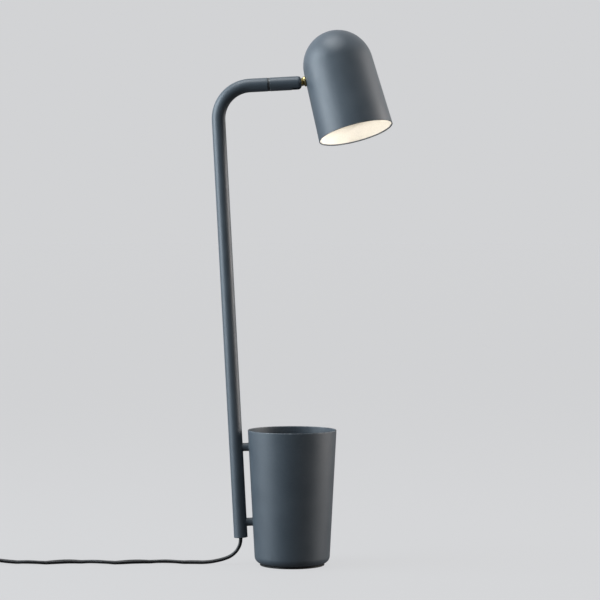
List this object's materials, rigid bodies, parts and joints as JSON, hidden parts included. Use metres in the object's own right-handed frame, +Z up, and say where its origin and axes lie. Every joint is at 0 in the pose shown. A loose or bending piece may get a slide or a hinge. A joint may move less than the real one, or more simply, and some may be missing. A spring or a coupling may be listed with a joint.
{
  "type": "desk lamp",
  "caption": "Desk lamp on a pen cup: bent tube stem, turning sleeve, tilting domed shade on a brass knuckle, flat cord with rocker switch and plug.",
  "frame": {"origin": "middle of the foot pad's underside, on the cup's axis", "axes": "+Z up, +X the way the arm points, +Y away from the side that the shade turns to"},
  "size_m": [0.5106, 0.107, 0.4708],
  "materials": {
    "blue_grey_paint": "matte",
    "shade_paint": "matte",
    "steel": "satin",
    "aged_brass": "satin",
    "plated_pins": "satin",
    "black_plastic": "satin",
    "cord_black": "matte",
    "foot_rubber": "matte",
    "grey_felt": "matte",
    "holder_ceramic": "matte",
    "bulb_white": "satin",
    "bulb_lens": "satin"
  },
  "bodies": {
    "base": {"foot_pad": "foot_rubber", "cup_shell": "blue_grey_paint", "ballast_disc": "steel", "ballast_screw": "steel", "cup_mat": "grey_felt", "upper_boss": "blue_grey_paint", "lower_boss": "blue_grey_paint", "upper_cup_screw": "steel", "lower_cup_screw": "steel", "upper_saddle_washer": "steel", "lower_saddle_washer": "steel", "stem_tube": "blue_grey_paint", "swivel_spigot": "steel", "swivel_washer": "steel", "cord_grommet": "black_plastic", "inner_lead": "cord_black", "cord_lead": "cord_black", "cord_link": "cord_black", "cord_coil": "cord_black", "cord_tail": "cord_black", "coil_tie": "grey_felt", "switch_lower_shell": "black_plastic", "switch_upper_shell": "black_plastic", "switch_screw_front": "steel", "switch_screw_back": "steel", "switch_terminal_in": "aged_brass", "switch_terminal_out": "aged_brass", "plug_body": "black_plastic", "plug_relief": "black_plastic", "plug_pin_front": "plated_pins", "plug_pin_back": "plated_pins", "plug_pin_sleeve_front": "black_plastic", "plug_pin_sleeve_back": "black_plastic"},
    "sleeve": {"swivel_sleeve": "blue_grey_paint", "swivel_stop_screw": "steel", "tilt_pin": "steel", "tilt_washer_front": "steel", "tilt_washer_back": "steel"},
    "head": {"knuckle": "aged_brass", "knuckle_lock_washer": "steel", "knuckle_nut": "steel", "shade_shell": "shade_paint", "holder_bracket": "steel", "lamp_holder": "holder_ceramic", "holder_screw_near": "steel", "holder_screw_far": "steel", "head_wire_live": "cord_black", "head_wire_neutral": "cord_black", "bulb_body": "bulb_white", "bulb_lens": "bulb_lens", "bulb_pin_front": "plated_pins", "bulb_pin_back": "plated_pins"},
    "rocker": {"switch_rocker": "black_plastic"}
  },
  "joints": [
    {"name": "head_swivel", "type": "hinge", "parent": "base", "child": "sleeve", "pos_m": [0.00554, 0, 0.42426], "axis": [0.9986, 0, 0.0523], "range_deg": [-78, 102]},
    {"name": "head_tilt", "type": "hinge", "parent": "sleeve", "child": "head", "pos_m": [0.00554, 0, 0.42426], "axis": [-0.0109, -0.9781, 0.2076], "range_deg": [-60, 14]},
    {"name": "switch_rocker", "type": "hinge", "parent": "base", "child": "rocker", "pos_m": [-0.298, 0.004, 0.0104], "axis": [0, 1, 0], "range_deg": [-14, 0]}
  ]
}
